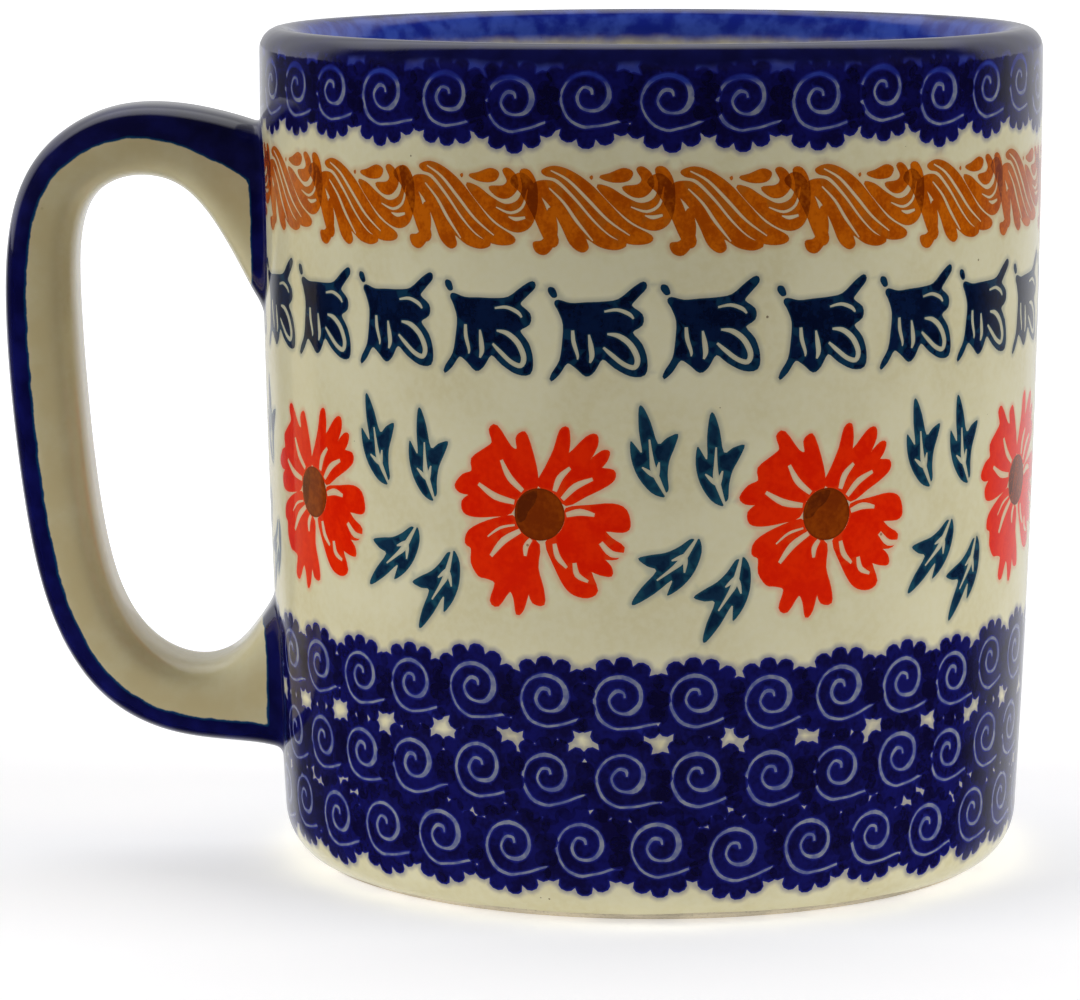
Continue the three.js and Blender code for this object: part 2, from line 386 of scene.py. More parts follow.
def flower_stamp():
    """A wild-looking flower of four toothed bunches of petals, with bare veins from the heart."""
    stamp = Stamp("red")
    for petals in (
        [(99, 2.9), (98, 5.0), (103, 8.3), (107, 8.6), (111, 8.2), (113, 7.1), (118, 7.6), (121, 10.1),
         (126, 10.2), (129, 8.9), (137, 8.9), (148, 9.3), (155, 8.6), (161, 9.4), (169, 9.9), (172, 9.2),
         (172, 8.1), (178, 8.8), (185, 8.6), (188, 7.4), (188, 5.2), (183, 3.2), (150, 2.9), (120, 2.9)],
        [(190, 3.0), (194, 6.0), (199, 8.3), (206, 9.1), (211, 8.7), (219, 9.5), (228, 9.7), (233, 9.2),
         (240, 9.0), (243, 10.9), (248, 10.9), (251, 8.9), (256, 9.4), (260, 10.9), (263, 10.2),
         (265, 8.4), (269, 9.3), (276, 9.4), (276, 7.8), (271, 5.6), (272, 3.2), (240, 2.8), (212, 2.9)],
        [(288, 3.0), (291, 5.6), (294, 7.8), (298, 9.0), (305, 9.9), (312, 9.9), (317, 8.0), (321, 8.9),
         (325, 9.8), (329, 9.2), (331, 8.2), (336, 9.3), (344, 9.5), (347, 8.0), (352, 7.2), (354, 9.0),
         (358, 9.6), (368, 9.2), (373, 7.9), (375, 5.4), (377, 3.0), (350, 2.9), (322, 2.9)],
        [(25, 3.1), (27, 5.4), (28, 7.4), (30, 8.8), (35, 9.2), (41, 8.3), (43, 9.2), (46, 10.0),
         (49, 9.5), (51, 8.0), (54, 9.6), (58, 10.4), (62, 9.6), (67, 7.2), (71, 8.4), (75, 9.6),
         (79, 9.1), (80, 7.0), (85, 5.0), (96, 3.1), (60, 2.9)],
    ):
        stamp.paint(spline(polar(petals), 3), INK_SPREAD)
    for turn, start, end, width in (
        (131, 3.0, 6.9, 0.34), (161, 3.0, 7.4, 0.36), (224, 2.8, 7.2, 0.36), (254, 2.8, 4.7, 0.3),
        (5, 2.9, 5.9, 0.36), (341, 7.1, 10.2, 0.34), (311, 6.2, 8.6, 0.3), (38, 3.0, 6.9, 0.34),
        (60, 3.0, 6.0, 0.34), (302, 3.4, 6.2, 0.3), (208, 3.0, 6.4, 0.14),
    ):
        bend = 4 if turn < 180 else -4
        stamp.slit(polar([(turn, start, width * 0.7), (turn + bend, (start + end) / 2, width),
                          (turn, end, width * 0.5)]))
    return stamp


def heart_stamps():
    """The brown middle of a flower, stamped twice and not quite on itself."""
    whole = polar([(30 * k, 2.75) for k in range(12)])
    part = [(-2.3, 1.3), (-1.0, 2.3), (-0.3, 2.4), (-0.5, 1.2), (-1.2, 0.2), (-1.6, -0.7), (-2.4, -0.9)]
    return [Stamp("brown").paint(spline(whole)), Stamp("brown").paint(spline(part))]


def leaf_stamp():
    """A leaf of three lobes, pointing up, with a forked vein left bare."""
    stamp = Stamp("teal")
    stamp.paint(spline([
        (0.0, -0.1), (-1.4, 0.5), (-2.8, 2.3), (-3.5, 4.4), (-3.5, 6.4), (-2.9, 5.8), (-2.25, 5.1),
        (-2.5, 7.6), (-2.4, 10.1), (-1.9, 10.2), (-1.1, 8.4), (-0.4, 6.0), (0.6, 6.6), (1.9, 7.0),
        (1.5, 5.6), (0.8, 4.0), (0.55, 2.4), (0.6, 0.9), (0.35, 0.45), (0.15, 0.5),
    ], 3))
    for vein in (
        [(0.3, 0.0, 0.12), (-0.3, 1.3, 0.24), (-1.0, 3.0, 0.36), (-1.2, 4.4, 0.22), (-1.35, 6.5, 0.09)],
        [(-0.7, 2.2, 0.14), (-1.4, 2.7, 0.26), (-2.3, 3.4, 0.08)],
        [(-0.6, 2.2, 0.14), (-0.55, 3.0, 0.24), (-0.35, 3.9, 0.08)],
    ):
        stamp.slit(vein)
    return stamp


# ---- where the stamps go

def angle_u(degrees):
    return math.radians(degrees) * RIM_RADIUS


def stray(reach):
    """How far a hand strays from the mark, either way."""
    return rng.uniform(-reach, reach)


def row_of_spirals(count, first, s, wander):
    """A ring of spirals, each stamped over the one before it."""
    stamps = []
    for k in range(count):
        u = angle_u(first + 360 * k / count) + stray(0.3)
        stamp = spiral_stamp(rng.randrange(SPIRAL_VARIANTS))
        place = s + wander * math.sin(2.1 * k) + stray(0.25)
        stamps.append(stamp.placed(u, place, stray(6), rng.uniform(0.97, 1.03)))
    return stamps


# each row's count, the angle of its first spiral, its height and how far it wanders up and down
SPIRAL_ROWS = ((34, -73.1, 86.55, 0.25), (32, -78.7, 8.45, 0.25), (33, -70.9, 16.2, 0.2),
               (33, -70.8, 24.6, 0.25))
GARLANDS = 19
GARLAND_FIRST = -54.6
GARLAND_S = 75.0
WINGED = 23
WINGED_FIRST = -55.5
WINGED_S = 63.0
FLOWER_ANGLES = (-59.3, -16.9, 24.2, 67.7, 114.0, 160.5, 207.5, 254.1)
FLOWER_S = 43.5
LEAF_PLACES = ((-2.5, 2.1, 2), (3.7, 1.3, -2), (1.2, -1.9, 124), (5.9, -4.4, 141))
LEAF_SIZE = 0.92


def whole_pattern():
    """Every stamp on the cup, in the order of stamping."""
    stamps = []
    for row in SPIRAL_ROWS:
        stamps += row_of_spirals(*row)
    garland = garland_stamp()
    for k in range(GARLANDS):
        u = angle_u(GARLAND_FIRST + 360 * k / GARLANDS)
        stamps.append(garland.placed(u, GARLAND_S + stray(0.3), stray(1.5)))
    winged = winged_stamp()
    for k in range(WINGED):
        u = angle_u(WINGED_FIRST + 360 * k / WINGED) + stray(0.4)
        stamps.append(winged.placed(u, WINGED_S + stray(0.3), stray(3)))
    flower = flower_stamp()
    leaf = leaf_stamp()
    around = FLOWER_ANGLES + (FLOWER_ANGLES[0] + 360,)
    for here, following in zip(around, around[1:]):
        u = angle_u(here)
        s = FLOWER_S + stray(0.3)
        stamps.append(flower.placed(u, s, stray(4)))
        stamps += [heart.placed(u, s, stray(20)) for heart in heart_stamps()]
        between = angle_u((here + following) / 2)
        for du, ds, lean in LEAF_PLACES:
            leaf_u = between + du + stray(0.3)
            leaf_s = FLOWER_S + ds + stray(0.3)
            stamps.append(leaf.placed(leaf_u, leaf_s, lean + stray(4), LEAF_SIZE))
    return stamps


# ---- the unrolled wall

INKS = ("clear", "resist", "cobalt", "ochre", "indigo", "red", "brown", "teal")
GRID_BANDS = ((GLAZE_LINE, 30.5, 0.68), (30.5, 81.0, 0.86), (81.0, CROWN, 0.62))
EDGE_ROLL = 0.35
INNER_GRID = 2.6
BORDER_STEP = 0.6
CLEARANCE = 0.17
JITTER = 0.08
ROW_RATIO = 0.866
BOUNDARY_STEP = 0.1
SAME_POINT = 1e-4
SAME_SIDE = 1e-3


class Plan:
    """Points and edges on the unrolled wall, gathered for triangulation."""

    def __init__(self):
        self.points = []
        self.edges = []

    def line(self, outline, closed=True):
        """Adds a line's points, with an edge from each to the next."""
        start = len(self.points)
        self.points += outline.tolist()
        count = len(outline)
        self.edges += [(start + i, start + (i + 1) % count) for i in range(count if closed else count - 1)]

    def level_line(self, s):
        """Adds a line right round the cup."""
        across = np.linspace(-HALF_TURN, HALF_TURN, AROUND + 1)
        self.line(np.stack([across, np.full_like(across, s)], 1), closed=False)

    def border(self, side_step):
        """The wall's own edge, with the same points on its left and right sides."""
        up = np.linspace(GLAZE_LINE, CROWN, int((CROWN - GLAZE_LINE) / side_step) + 1)
        for s in (GLAZE_LINE, CROWN):
            self.level_line(s)
        for u in (-HALF_TURN, HALF_TURN):
            self.line(np.stack([np.full_like(up, u), up], 1), closed=False)

    def triangulate(self, holes):
        """Triangles inside the border and outside the holes, with the two sides joined."""
        corners = [Vector(p) for p in self.points]
        points, _, faces, *_ = delaunay_2d_cdt(corners, self.edges, [], 0, SAME_POINT)
        points = np.array([tuple(p) for p in points])
        faces = np.array(faces, int)
        middles = points[faces].mean(1)
        keep = (np.abs(middles[:, 0]) < HALF_TURN) & (middles[:, 1] > GLAZE_LINE) & (middles[:, 1] < CROWN)
        keep &= ~inside_any(holes, middles)
        left = np.flatnonzero(np.abs(points[:, 0] + HALF_TURN) < SAME_SIDE)
        right = np.flatnonzero(np.abs(points[:, 0] - HALF_TURN) < SAME_SIDE)
        partner = np.abs(points[right, 1][:, None] - points[left, 1][None, :]).argmin(1)
        joined = np.arange(len(points))
        joined[right] = left[partner]
        return points, faces[keep], joined


def tree_of(points):
    """A search tree of points on the unrolled wall."""
    tree = KDTree(len(points))
    for i, (u, s) in enumerate(points):
        tree.insert((u, s, 0), i)
    tree.balance()
    return tree


def nearest(samples, points):
    """For each point, the number of the nearest sample, and how far off it is."""
    tree = tree_of(samples)
    found = [tree.find((u, s, 0)) for u, s in points]
    return np.array([number for _, number, _ in found]), np.array([away for _, _, away in found])


def inside(outline, points):
    """Which points lie inside a closed outline, by counting crossings."""
    x, y = points[:, 0:1], points[:, 1:2]
    x0, y0 = outline[:, 0], outline[:, 1]
    x1, y1 = np.roll(x0, -1), np.roll(y0, -1)
    rising = (y0 > y) != (y1 > y)
    slope = (x1 - x0) / np.where(y1 == y0, 1e-12, y1 - y0)
    return (rising & (x < x0 + slope * (y - y0))).sum(1) % 2 == 1


def inside_any(outlines, points):
    """Which points lie inside at least one of the outlines."""
    hit = np.zeros(len(points), bool)
    for outline in outlines:
        hit |= inside(outline, points)
    return hit


def wrapped(stamps):
    """The stamps, and a second copy of each one that crosses the back of the cup."""
    out = []
    for stamp in stamps:
        u = np.concatenate(stamp.painted)[:, 0]
        back = -2 * HALF_TURN * round((u.min() + u.max()) / 2 / (2 * HALF_TURN))
        stamp = stamp.placed(back, 0)
        u = u + back
        out.append(stamp)
        if u.max() > HALF_TURN:
            out.append(stamp.placed(-2 * HALF_TURN, 0))
        if u.min() < -HALF_TURN:
            out.append(stamp.placed(2 * HALF_TURN, 0))
    return out


def grid_points(taken, holes):
    """A jittered triangular grid that keeps clear of the drawn lines and of the handle's roots."""
    points = []
    for low, high, step in GRID_BANDS:
        rows = int((high - low) / (step * ROW_RATIO))
        count = int(2 * HALF_TURN / step)
        for i in range(rows):
            for j in range(count):
                across = j + 0.25 + 0.5 * (i % 2) + rng.uniform(-JITTER, JITTER)
                u = -HALF_TURN + across * 2 * HALF_TURN / count
                s = low + (i + 0.5 + rng.uniform(-JITTER, JITTER)) * (high - low) / rows
                if taken.find((u, s, 0))[2] > CLEARANCE:
                    points.append((u, s))
    points = np.array(points)
    return points[~inside_any(holes, points)]


def inks_of_faces(stamps, middles):
    """The ink on each face, and how many times it was stamped there."""
    order = np.argsort(middles[:, 0])
    sorted_u = middles[order, 0]
    ink = np.zeros(len(middles), int)
    load = np.zeros(len(middles))
    left_bare = np.zeros(len(middles), bool)
    for stamp in stamps:
        everything = np.concatenate(stamp.painted)
        low, high = everything.min(0), everything.max(0)
        near = order[np.searchsorted(sorted_u, low[0]):np.searchsorted(sorted_u, high[0])]
        near = near[(middles[near, 1] > low[1]) & (middles[near, 1] < high[1])]
        wet = inside_any(stamp.painted, middles[near])
        bare = inside_any(stamp.bare, middles[near])
        number = INKS.index(stamp.ink)
        if stamp.ink == "cobalt":
            left_bare[near[wet & bare]] = True
        hit = near[wet & ~bare]
        load[hit] = np.where(ink[hit] == number, load[hit] + 1, 1)
        ink[hit] = number
    ink[left_bare & (ink == 0)] = INKS.index("resist")
    return ink, load


def edges_of(faces):
    """Each edge once, with its one or two faces (-1 for none)."""
    pairs = np.concatenate([faces[:, [0, 1]], faces[:, [1, 2]], faces[:, [2, 0]]])
    owner = np.tile(np.arange(len(faces)), 3)
    key = np.sort(pairs, 1)
    order = np.lexsort((key[:, 1], key[:, 0]))
    key, owner, pairs = key[order], owner[order], pairs[order]
    first = np.ones(len(key), bool)
    first[1:] = (key[1:] != key[:-1]).any(1)
    start = np.flatnonzero(first)
    second = np.full(len(start), -1)
    twice = np.append(start[1:], len(key)) - start == 2
    second[twice] = owner[start[twice] + 1]
    return pairs[start], owner[start], second


def ink_distance(points, faces, ink):
    """How far each point is from the nearest edge of an ink, and which ink that is."""
    pairs, first, second = edges_of(faces)
    differ = (second >= 0) & (ink[first] != ink[np.maximum(second, 0)])
    a, b = points[pairs[differ, 0]], points[pairs[differ, 1]]
    number = np.maximum(ink[first[differ]], ink[second[differ]])
    samples, owners = [], []
    for p, q, n in zip(a, b, number):
        count = max(1, int(np.hypot(*(q - p)) / BOUNDARY_STEP))
        for k in range(count + 1):
            samples.append(p + (q - p) * k / count)
            owners.append(n)
    index, distance = nearest(samples, points)
    return distance, np.array(owners)[index]


# ---- the handle's lines

STRAP_ROWS = 150
FILLET_ROWS = 8
STRAP_SIDES = 96
SEARCH_STEPS = 700
SPONGE_REACH = 0.03
PAINT_ON_WALL = 0.3
PAINT_ON_STRAP = 1.0


def smooth_edge(stations, t):
    """A centripetal Catmull-Rom curve through the stations, at places from 0 to 1."""
    last = len(stations) - 1
    ends = (2 * stations[:1] - stations[1:2], 2 * stations[-1:] - stations[-2:-1])
    points = np.concatenate([ends[0], stations, ends[1]])
    place = np.clip(t, 0, 1) * last
    i = np.minimum(place.astype(int), last - 1)
    w = (place - i)[..., None]
    a, b, c, d = (points[i + k] for k in range(4))
    ab = np.linalg.norm(b - a, axis=-1, keepdims=True) ** 0.5
    bc = np.linalg.norm(c - b, axis=-1, keepdims=True) ** 0.5
    cd = np.linalg.norm(d - c, axis=-1, keepdims=True) ** 0.5
    leaving = ((b - a) / ab - (c - a) / (ab + bc) + (c - b) / bc) * bc
    arriving = ((c - b) / bc - (d - b) / (bc + cd) + (d - c) / cd) * bc
    bend = 3 * (c - b) - 2 * leaving - arriving
    return b + leaving * w + bend * w ** 2 + (2 * (b - c) + leaving + arriving) * w ** 3


def worn_edge(stations, t):
    """The same curve with its corners rubbed smooth, as a sponge leaves them."""
    shifts = SPONGE_REACH * np.array([-1.0, -0.5, 0.0, 0.5, 1.0])
    nearby = [smooth_edge(stations, np.clip(t + shift, 0, 1)) for shift in shifts]
    middle = sum(nearby) / len(nearby)
    inland = np.clip(np.minimum(t, 1 - t) / (5 * SPONGE_REACH), 0, 1)[..., None]
    return smooth_edge(stations, t) * (1 - inland) + middle * inland


def rounded(value):
    """A sine or cosine bent so that it draws a rounded rectangle and not a circle."""
    return np.sign(value) * np.abs(value) ** (2 / STRAP_SQUARENESS)


def strap_surface(t, turn):
    """Points on the glazed strap, and how far each is below its outer face."""
    outer = worn_edge(STRAP_STATIONS[:, :2], t)
    inner = worn_edge(STRAP_STATIONS[:, 2:], t)
    across = (outer - inner) / 2
    up = rounded(np.cos(turn))
    middle = (outer + inner) / 2 + across * up[..., None]
    half_width = STRAP_HALF_WIDTH + ROOT_EXTRA_WIDTH * np.abs(2 * t - 1) ** 8
    side = rounded(np.sin(turn)) * half_width
    points = np.stack([AXIS_X + middle[..., 0], side, middle[..., 1]], -1)
    return points, np.linalg.norm(across, axis=-1) * (1 - up)


def beyond_wall(points):
    """How far points are outside the cup's wall."""
    return np.hypot(points[..., 0] - AXIS_X, points[..., 1]) - wall_radius(points[..., 2])


def leaves_wall_at(distance, turn, root):
    """Where along the strap, for each turn, its surface is a distance beyond the wall."""
    t = np.abs(root - np.linspace(0, 0.5, SEARCH_STEPS))[:, None] * np.ones(len(turn))
    away = beyond_wall(strap_surface(t, turn[None, :] * np.ones(t.shape))[0])
    row = len(t) - 1 - np.argmax((away < distance)[::-1], axis=0)
    column = np.arange(len(turn))
    below, above = away[row, column], away[row + 1, column]
    share = (distance - below) / (above - below)
    return t[row, column] + share * (t[row + 1, column] - t[row, column])


def root_rings(root):
    """For one end of the strap: its surface's places clear of the wall, the joint, and the fillet's edge."""
    turn = 2 * math.pi * np.arange(STRAP_SIDES) / STRAP_SIDES
    clear = leaves_wall_at(FILLET, turn, root)
    joint, _ = strap_surface(leaves_wall_at(0, turn, root), turn)
    u = np.arctan2(joint[:, 0] - AXIS_X, -joint[:, 1])
    loop = np.stack([u * RIM_RADIUS, joint[:, 2]], 1)
    along = unit(np.roll(loop, -1, axis=0) - np.roll(loop, 1, axis=0))
    away = np.stack([along[:, 1], -along[:, 0]], 1)
    away *= np.sign(((loop - loop.mean(0)) * away).sum())
    return clear, joint, loop + FILLET * away


def grid_normals(points):
    """Normals of a grid whose columns close on themselves."""
    around = np.roll(points, -1, axis=1) - np.roll(points, 1, axis=1)
    normals = unit(np.cross(around, np.gradient(points, axis=0)))
    middles = points.mean(1, keepdims=True)
    return normals * np.sign(((points - middles) * normals).sum())


# ---- the pieces

def glazed_handle(upper, lower):
    """The strap's coat of glaze, which flares into the wall at both roots, as a closed shell."""
    turn = 2 * math.pi * np.arange(STRAP_SIDES) / STRAP_SIDES
    share = np.linspace(0, 1, STRAP_ROWS)[:, None]
    t = upper[0] * (1 - share) + lower[0] * share
    strap, below_outer = strap_surface(t, turn[None, :] * np.ones(t.shape))
    step = np.linspace(0, 1, FILLET_ROWS + 1)[:-1, None, None]
    ends = []
    for (_, joint, loop), row in ((upper, strap[0]), (lower, strap[-1])):
        on_wall, wall_normals = on_cup(loop[:, 0], loop[:, 1])
        bend = (1 - step) ** 2 * on_wall + 2 * step * (1 - step) * joint + step ** 2 * row
        ends.append((bend, wall_normals))
    outer = np.concatenate([ends[0][0], strap, ends[1][0][::-1]])
    normals = grid_normals(outer)
    normals[0] = ends[0][1]
    normals[-1] = ends[1][1]
    rows = len(outer)
    inner = outer - GLAZE * normals
    vertices = np.concatenate([outer.reshape(-1, 3), inner.reshape(-1, 3)])
    both_normals = np.concatenate([normals.reshape(-1, 3), -normals.reshape(-1, 3)])
    corners = np.arange(len(vertices)).reshape(-1, STRAP_SIDES)
    faces = faces_between(np.concatenate([corners[:rows], corners[rows:][::-1], corners[:1]]).tolist())
    piece = make_piece("glazed_handle", vertices, faces, ("outer_glaze",), both_normals)

    lengths = np.linalg.norm(np.diff(outer, axis=0), axis=-1)
    walked = np.concatenate([np.zeros((1, STRAP_SIDES)), np.cumsum(lengths, axis=0)])
    from_upper = walked - walked[FILLET_ROWS]
    from_lower = walked[rows - 1 - FILLET_ROWS] - walked
    to_wall = np.minimum(from_upper, from_lower)
    fillets = ((FILLET_ROWS, FILLET_ROWS), (0, 0))
    depth = np.pad(below_outer, fillets, "edge")
    on_side = side_paint_width(np.pad(share, fillets, "edge")) - depth
    brush = np.maximum(on_side, PAINT_ON_STRAP - to_wall).ravel()
    add_attribute(piece.data, "brush_mm", np.tile(brush, 2))
    # painted shade: 0 at the strap's outer and inner faces and 1 midway down its sides, where the glaze is
    # tinted darker
    side_shade = np.sin(math.pi * np.clip(depth / np.maximum(depth.max(1, keepdims=True), 1), 0, 1)).ravel()
    add_attribute(piece.data, "side_shade", np.tile(side_shade, 2))
    piece.data.materials.append(handle_look())


def side_paint_width(along):
    """How far the blue on the handle's outer face reaches down its sides, from the upper root on."""
    places = (0.0, 0.08, 0.2, 0.35, 0.6, 0.85, 1.0)
    widths = (6.4, 5.2, 3.5, 2.9, 2.8, 3.0, 3.2)
    return np.interp(along, places, widths)


def glazed_wall(upper, lower):
    """The outside coat with the stamps in its mesh, open where the handle stands, as a closed shell."""
    loops = [upper[2], lower[2]]
    stamps = wrapped(whole_pattern())
    plan = Plan()
    plan.border(BORDER_STEP)
    for loop in loops:
        plan.line(loop)
    for share in (0.15, 0.45, 1.0):
        plan.level_line(GLAZE_LINE + share * EDGE_ROLL)
    for stamp in stamps:
        for outline in stamp.painted + stamp.bare:
            plan.line(outline)
        if stamp.spines and stamp.ink != "cobalt":
            plan.points += np.concatenate(stamp.spines).tolist()
    plan.points += grid_points(tree_of(plan.points), loops).tolist()
    points, faces, joined = plan.triangulate(loops)
    ink, load = inks_of_faces(stamps, points[faces].mean(1))
    distance, nearest_ink = ink_distance(points, faces, ink)
    faces = joined[faces]

    pairs, _, second = edges_of(faces)
    rim = pairs[second < 0]
    up = points[rim].mean(1)[:, 1]
    round_roots = rim[(up > GLAZE_LINE + 0.01) & (up < CROWN - 0.01)]
    corners = np.unique(round_roots)

    back = Plan()
    back.points += points[corners].tolist()
    back.edges += np.searchsorted(corners, round_roots).tolist()
    back.border(INNER_GRID)
    for s in np.arange(GLAZE_LINE + INNER_GRID, CROWN - 1, INNER_GRID):
        for u in np.arange(-HALF_TURN + INNER_GRID, HALF_TURN - 1, INNER_GRID):
            back.points.append((u, s))
    back_points, back_faces, back_joined = back.triangulate(loops)
    back_faces = back_joined[back_faces]

    front, front_normals = on_cup(points[:, 0], wavy_foot(points), edge_roll(points[:, 1]))
    behind, behind_normals = on_cup(back_points[:, 0], wavy_foot(back_points), GLAZE)
    opposite = len(points) + back_joined[nearest(back_points, points[rim.ravel()])[0]]
    sides = [(b, a, below_a, below_b) for (a, b), (below_a, below_b) in zip(rim, opposite.reshape(-1, 2))]

    shell = faces.tolist() + (back_faces[:, ::-1] + len(points)).tolist() + sides
    vertices = np.concatenate([front, behind])
    normals = np.concatenate([front_normals, -behind_normals])
    used = np.unique(np.concatenate([np.ravel(f) for f in shell]))
    place = np.zeros(len(vertices), int)
    place[used] = np.arange(len(used))
    shell = [[int(place[c]) for c in face] for face in shell]
    piece = make_piece("glazed_wall", vertices[used], shell, ("outer_glaze",), normals[used])

    bleed = np.array([BLEEDS[INKS[n]] for n in nearest_ink])
    rest = len(behind)
    paint = PAINT_ON_WALL - distance_to_loops(points, loops)
    mesh = piece.data
    add_attribute(mesh, "edge_mm", np.append(distance, np.full(rest, 5.0))[used])
    add_attribute(mesh, "bleed", np.concatenate([bleed, np.zeros((rest, 4))])[used])
    add_attribute(mesh, "brush_mm", np.append(paint, np.full(rest, -5.0))[used])
    add_attribute(mesh, "stamped", np.append(load, np.zeros(len(shell) - len(load))), "FACE")
    for name in INKS:
        mesh.materials.append(wall_look(name))
    mesh.polygons.foreach_set("material_index", np.append(ink, np.zeros(len(shell) - len(ink), int)))


def wavy_foot(points):
    """The glaze was wiped off the foot by hand, so its lower edge wanders a little."""
    u, s = points[:, 0] / RIM_RADIUS, points[:, 1]
    near_foot = np.clip(1 - (s - GLAZE_LINE) / 1.5, 0, 1)
    return s + near_foot * (0.12 * np.sin(3 * u + 1) + 0.06 * np.sin(11 * u) - 0.03 * np.sin(23 * u + 2))


def edge_roll(s):
    """How deep the glaze's lower edge is rounded off by its surface tension."""
    short = np.clip(1 - (s - GLAZE_LINE) / EDGE_ROLL, 0, 1)
    return 0.75 * GLAZE * (1 - np.sqrt(1 - short ** 2))


def distance_to_loops(points, loops):
    """How far each point is from the nearest of the handle's roots."""
    samples = []
    for loop in loops:
        for a, b in zip(loop, np.roll(loop, -1, axis=0)):
            samples += [a + (b - a) * k / 4 for k in range(4)]
    return nearest(samples, points)[1]


def inner_line(depth, steps):
    """The cup's inside in radius and height, from the lip's crown down to the floor's middle."""
    corner_top = FLOOR_HEIGHT + FLOOR_CORNER
    corner_radius = FLOOR_CORNER + depth
    corner_middle = wall_radius(corner_top) - WALL + depth - corner_radius
    lip_width = LIP_MIDDLE - (wall_radius(SHOULDER) - WALL + depth)
    lip_rise = LIP_RISE - depth
    line = []
    for k in range(LIP_STEPS + 1):
        angle = math.pi / 2 * (1 + k / LIP_STEPS)
        line.append((LIP_MIDDLE + lip_width * math.cos(angle), SHOULDER + lip_rise * math.sin(angle)))
    for k in range(1, steps):
        height = SHOULDER + (corner_top - SHOULDER) * k / steps
        line.append((wall_radius(height) - WALL + depth, height))
    for k in range(CORNER_STEPS + 1):
        angle = -math.pi / 2 * k / CORNER_STEPS
        radius = corner_middle + corner_radius * math.cos(angle)
        line.append((radius, corner_top + corner_radius * math.sin(angle)))
    for share in (0.75, 0.5, 0.25, 0):
        line.append((corner_middle * share, FLOOR_HEIGHT - depth))
    return line


def glazed_inside():
    """The coat inside the cup, from the lip's crown over the floor."""
    outline = inner_line(0, 40) + inner_line(GLAZE, 10)[::-1]
    lathe_piece("glazed_inside", outline, inside_look(), ("inner_glaze",))


def glazed_base():
    """The thin coat in the hollow of the base, a little uneven where it was brushed on."""
    top = RECESS_DEPTH - GAP
    low = RECESS_DEPTH - SKIN
    edge = RECESS_RADIUS - GAP
    lower_face = [(edge * k / 24, low + BRUSH_MARKS * abs(math.sin(2.3 * k))) for k in range(23)]
    rim = [(edge - 0.3, low + 0.05), (edge - 0.08, low + 0.15), (edge, top - 0.08), (edge - 0.05, top)]
    outline = lower_face + rim + [(0, top)]
    lathe_piece("glazed_base", outline, base_look(), ("base_glaze",))


def clay_cup():
    """The fired clay under the glaze, with its bare foot ring."""
    recess = [(0, RECESS_DEPTH), (RECESS_RADIUS - 0.5, RECESS_DEPTH)]
    recess.append((RECESS_RADIUS - 0.1, RECESS_DEPTH - 0.15))
    ring = [(RECESS_RADIUS + 0.1, 0.5), (RECESS_RADIUS + 0.5, 0.08), (RECESS_RADIUS + 1.2, 0)]
    foot = [(FOOT_RADIUS - 1.1, 0), (FOOT_RADIUS - 0.3, 0.12)]
    bare = [(s, 0.2 + 0.1 * s / GLAZE_LINE) for s in (0.2, 0.4, 0.6, 0.75, GLAZE_LINE - 0.1)]
    covered = [(s, SKIN) for s in np.linspace(GLAZE_LINE + 0.15, CROWN, 60)]
    for s, depth in bare + covered:
        radius, height = outside(s, depth)
        foot.append((float(radius), float(height)))
    outline = recess + ring + foot + inner_line(SKIN, 12)[1:]
    lathe_piece("clay_cup", outline, clay_look("bare_clay", FOOT_CLAY), ("cup_body",))


# ---- materials

def paint(red, green, blue, alpha=1):
    """A colour given as 0 to 255 screen values, as Blender's linear colour."""
    screen = (red / 255, green / 255, blue / 255)
    linear = [c / 12.92 if c <= 0.04045 else ((c + 0.055) / 1.055) ** 2.4 for c in screen]
    return (*linear, alpha)


class Nodes:
    """A node tree, with a short call for each kind of node."""

    def __init__(self, tree):
        self.tree = tree

    def node(self, kind, inputs=(), **settings):
        node = self.tree.nodes.new(kind)
        for key, value in settings.items():
            setattr(node, key, value)
        for key, value in dict(inputs).items():
            self.set(node.inputs[key], value)
        return node

    def set(self, socket, value):
        if isinstance(value, bpy.types.NodeSocket):
            self.tree.links.new(value, socket)
        else:
            socket.default_value = value

    def math(self, kind, a, b):
        return self.node("ShaderNodeMath", {0: a, 1: b}, operation=kind).outputs[0]

    def add(self, a, b):
        return self.math("ADD", a, b)

    def times(self, a, b):
        return self.math("MULTIPLY", a, b)

    def step(self, value, low, high, start=0.0, end=1.0):
        """A smooth step from start, where the value is low, to end."""
        return self.node("ShaderNodeMapRange", {
            "Value": value, "From Min": low, "From Max": high, "To Min": start, "To Max": end,
        }, interpolation_type="SMOOTHSTEP").outputs["Result"]

    def blend(self, amount, a, b):
        """A number between two numbers."""
        return self.node("ShaderNodeMix", {0: amount, 2: a, 3: b}).outputs[0]

    def mix(self, amount, a, b):
        """A colour between two colours."""
        return self.node("ShaderNodeMix", {0: amount, 6: a, 7: b}, data_type="RGBA").outputs[2]


